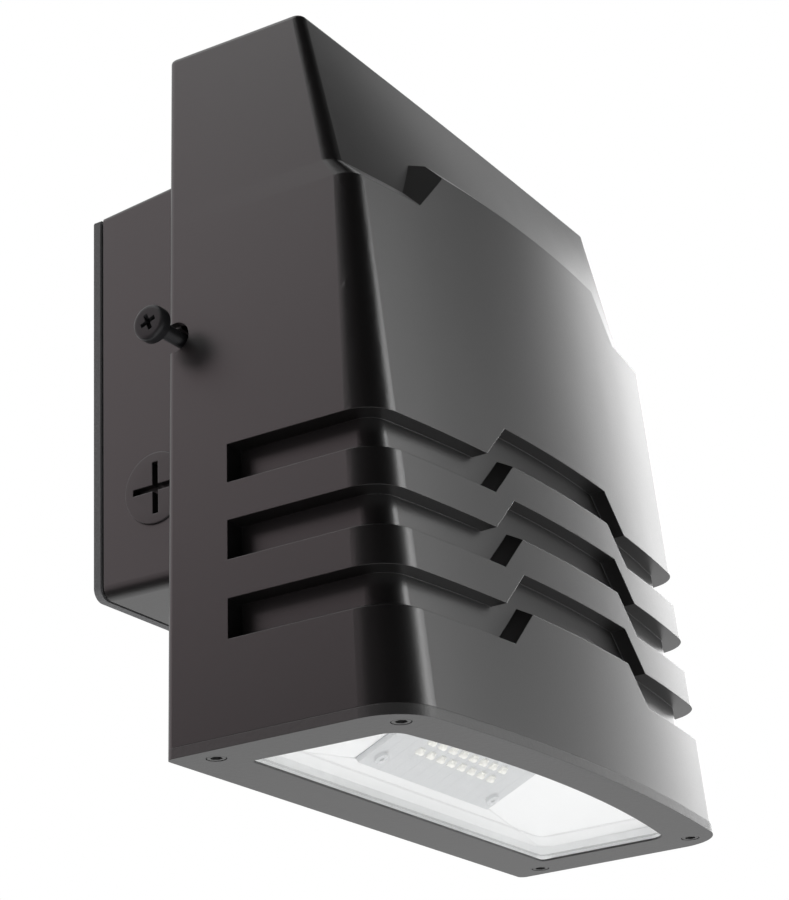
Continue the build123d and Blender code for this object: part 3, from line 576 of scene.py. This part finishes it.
# ------------------------------------------------------------ lock screws
lock_head, lock_head_height, lock_shank = 14.4 * mm, 4.6 * mm, 6.0 * mm
lock_thread_depth, lock_pitch = 0.9 * mm, 1.0 * mm
lock_thread_top, lock_thread_spare = -0.6 * mm, 1.5 * mm
lock_turn = 20.0
for side, sign in (("left", -1.0), ("right", 1.0)):
    node = "lock_screw_" + side
    low, high, middle = corners_of(node)
    tip = high.x if sign > 0 else low.x
    length = high.x - low.x - lock_head_height
    screw = pan_screw(lock_shank - lock_thread_depth, length, lock_head, lock_head_height,
                      cross=0.98, sides=64)
    ridge = thread((lock_shank - lock_thread_depth) / 2, lock_pitch,
                   length - lock_thread_spare, lock_thread_depth, lock_thread_top)
    screw = join([screw, ridge], "lock_pan_screw_" + side)
    place_on(screw, Vector((tip - sign * lock_head_height, middle.y, middle.z)),
             Vector((sign, 0.0, 0.0)), lock_turn)
    smooth(screw, 40.0)
    dress(screw, "black_steel", node, node)

# ------------------------------------------------------------ light source
board_tilt = math.radians(24.0)
board_out = Vector((0.0, -math.sin(board_tilt), -math.cos(board_tilt)))
dome_radius, dome_lift = 1.45 * mm, 0.42 * mm
bpy.ops.mesh.primitive_uv_sphere_add(segments=16, ring_count=10, radius=dome_radius)
dome = bpy.context.object
bpy.ops.object.mode_set(mode="EDIT")
bpy.ops.mesh.select_all(action="SELECT")
bpy.ops.mesh.bisect(plane_co=(0.0, 0.0, 0.0), plane_no=(0.0, 0.0, 1.0), use_fill=True,
                    clear_inner=True)
bpy.ops.object.mode_set(mode="OBJECT")
dome_seats = [(low + high) / 2 + board_out * dome_lift for low, high in solids_of("led_chips")]
domes = copies_at(dome, dome_seats, board_out, "led_domes", (0.0,))
smooth(domes, 50.0)
dress(domes, "chip_phosphor", "lamp")


# ------------------------------------------------------------ window
def plate_like(node, grow, low, high, name):
    """A flat plate with a node's outline, larger by grow, between two heights."""
    plate = bpy.data.objects.new(name, nodes[node].data.copy())
    bpy.context.collection.objects.link(plate)
    pick(plate)
    bpy.ops.object.mode_set(mode="EDIT")
    bpy.ops.mesh.select_all(action="SELECT")
    bpy.ops.mesh.remove_doubles(threshold=1e-6)
    bpy.ops.object.mode_set(mode="OBJECT")
    first, last, middle = corners_of(node)
    half = (last - first) / 2
    for vertex in plate.data.vertices:
        offset = vertex.co - middle
        vertex.co.x = middle.x + offset.x * (half.x + grow) / half.x
        vertex.co.y = middle.y + offset.y * (half.y + grow) / half.y
        vertex.co.z = high if offset.z > 0 else low
    return plate


# The pane sits in a channel of pale silicone that wraps its edge.
channel_width, pane_gap = 4.7 * mm, 0.03 * mm
channel_low, channel_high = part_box("glass_seal")[0][2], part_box("reflector")[0][2]
channel = plate_like("lens_glass", 0.0, channel_low, channel_high, "glass_channel")
carve(channel, plate_like("lens_glass", -channel_width, channel_low - mm, channel_high + mm,
                          "window_room"))
dress(channel, "clear_silicone", "lamp", "glass_seal")
pane_low, pane_high = (corner[2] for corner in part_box("lens_glass"))
pane = plate_like("lens_glass", -channel_width - pane_gap, pane_low, pane_high, "lens_pane")
dress(pane, "lens_glass", "lamp", "lens_glass")

# ------------------------------------------------------------ conduit plugs
plug_height, plug_rim = 1.4 * mm, 0.5 * mm
plug_slot_length, plug_slot_width, plug_slot_depth = 21.0 * mm, 2.6 * mm, 3.4 * mm
plug_core_radius, plug_thread_depth, plug_pitch = 9.9 * mm, 0.9 * mm, 1.8 * mm
plug_thread_top, plug_thread_spare = -1.4 * mm, 3.0 * mm
for side, sign in (("left", -1.0), ("right", 1.0)):
    node = "conduit_plug_" + side
    low, high, middle = corners_of(node)
    depth = high.x - low.x - plug_height
    plug = add_head((high.z - low.z) / 2, plug_height, plug_rim, 96)
    carve(plug, add_stem(plug_core_radius, -depth, plug_height / 2, 64), "UNION")
    for turn in (0.0, 90.0):
        bpy.ops.mesh.primitive_cube_add(size=1.0, location=(0.0, 0.0, plug_height),
                                        rotation=(0.0, 0.0, math.radians(turn)))
        blade = bpy.context.object
        blade.scale = (plug_slot_length, plug_slot_width, 2 * plug_slot_depth)
        settle(blade)
        carve(plug, blade)
    ridge = thread(plug_core_radius, plug_pitch, depth - plug_thread_spare, plug_thread_depth,
                   plug_thread_top)
    plug = join([plug, ridge], "slotted_plug_" + side)
    tip = high.x if sign > 0 else low.x
    place_on(plug, Vector((tip - sign * plug_height, middle.y, middle.z)),
             Vector((sign, 0.0, 0.0)))
    smooth(plug, 30.0)
    dress(plug, "plug_paint", "box", node)

# ------------------------------------------------------------ camera
camera_place = (-0.778, -0.5399, -0.3830)
yaw, pitch, roll = (math.radians(angle) for angle in (31.01, 22.71, -3.03))
forward = Vector((math.cos(yaw) * math.cos(pitch), math.sin(yaw) * math.cos(pitch),
                  math.sin(pitch)))
level_right = Vector((math.sin(yaw), -math.cos(yaw), 0.0))
level_up = level_right.cross(forward)
right = level_right * math.cos(roll) + level_up * math.sin(roll)
up = level_up * math.cos(roll) - level_right * math.sin(roll)
bpy.ops.object.camera_add()
camera = bpy.context.object
camera.name = "camera"
camera.data.lens = 95.3
camera.data.sensor_width = 36.0
camera.data.clip_end = 50.0
camera.matrix_world = (Matrix.Translation(camera_place)
                       @ Matrix((right, up, -forward)).transposed().to_4x4())
bpy.context.scene.camera = camera

# ------------------------------------------------------------ studio
target = Vector((0.0, -0.08, 0.0))
white = (1.0, 1.0, 1.0)


def aim(obj, place):
    obj.location = place
    obj.rotation_euler = (target - Vector(place)).to_track_quat("-Z", "Y").to_euler()


def around(azimuth, elevation, distance):
    """A place seen from the object; azimuth 0 is to the right and 90 towards the wall."""
    azimuth, elevation = math.radians(azimuth), math.radians(elevation)
    level = distance * math.cos(elevation)
    return target + Vector((level * math.cos(azimuth), level * math.sin(azimuth),
                            distance * math.sin(elevation)))


def softbox(name, place, size, power, mirrored=True):
    """A soft rectangular lamp that may also show in the paint."""
    bpy.ops.object.light_add(type="AREA")
    lamp = bpy.context.object
    lamp.name = name
    lamp.data.shape = "RECTANGLE"
    lamp.data.size, lamp.data.size_y = size
    lamp.data.energy = power
    lamp.visible_camera = False
    lamp.visible_glossy = mirrored
    aim(lamp, place)


def card(name, place, size, shade, tint=white):
    """A panel of one shade that only the satin paint reflects."""
    bpy.ops.mesh.primitive_plane_add(size=1.0)
    panel = bpy.context.object
    panel.name = name
    panel.scale = (*size, 1.0)
    aim(panel, place)
    panel.visible_camera = False
    panel.visible_diffuse = False
    panel.visible_transmission = False
    panel.visible_shadow = False
    even = Finish(name, base_color=(0.0, 0.0, 0.0), roughness=1.0, specular_ior_level=0.0,
                  emission_color=tint, emission_strength=shade)
    panel.data.materials.append(even.material)


# A lamp's or card's place is its azimuth, elevation and distance; width and height follow.
softbox("box_right", around(1.0, 15.0, 2.3), (1.2, 1.6), 23.0)
softbox("box_below", (-0.20, -0.30, -1.60), (2.0, 2.0), 27.0, mirrored=False)
card("card_left", around(198.0, 24.0, 2.4), (3.3, 4.6), 0.0)
card("card_front", around(252.0, 24.0, 2.4), (2.9, 4.6), 0.0)
card("card_side_low", around(157.0, 0.0, 2.3), (1.5, 1.5), 0.16, tint=(1.0, 0.90, 0.92))
card("card_side_high", around(143.0, 52.0, 2.3), (1.5, 1.1), 1.75)
card("card_side_far", around(146.0, 2.0, 3.4), (5.2, 4.4), 1.03, tint=(1.0, 0.84, 0.88))
card("card_under_left", around(137.0, -40.0, 1.5), (1.9, 1.5), 0.0)
card("card_overhead", around(305.0, 82.0, 2.2), (1.5, 1.3), 0.0)
card("strip_front", around(296.0, 9.0, 2.3), (0.30, 2.0), 9.0)
card("card_high", around(306.0, 52.0, 2.4), (1.9, 1.2), 0.0)
card("card_right", around(331.0, 36.0, 2.4), (1.3, 2.0), 0.20)

# The world lights the object dimly and shows white behind it.
ambient = 0.55
world = bpy.data.worlds.new("studio")
bpy.context.scene.world = world
sky = Shading(world)
background = sky.tree.nodes["Background"]
sky.feed(background.inputs["Color"], white)
sky.feed(background.inputs["Strength"], sky.backdrop_rays() * (1.0 - ambient) + ambient)

bpy.ops.mesh.primitive_plane_add(size=24.0, location=(0.0, 0.0, -1.75))
floor = bpy.context.object
floor.name = "studio_floor"
pale = Finish("pale_floor", base_color=(0.82, 0.82, 0.82), roughness=0.9)
glow = pale.node("Emission", inputs={"Color": (0.95, 0.95, 0.95), "Strength": 1.0})
lit = Reading(pale, pale.shader.outputs["BSDF"])
mixed = pale.node("MixShader", inputs={0: pale.backdrop_rays() * 0.8, 1: lit, 2: glow})
pale.feed(pale.tree.nodes["Material Output"].inputs["Surface"], mixed)
floor.data.materials.append(pale.material)

bpy.context.scene.view_settings.view_transform = "Standard"
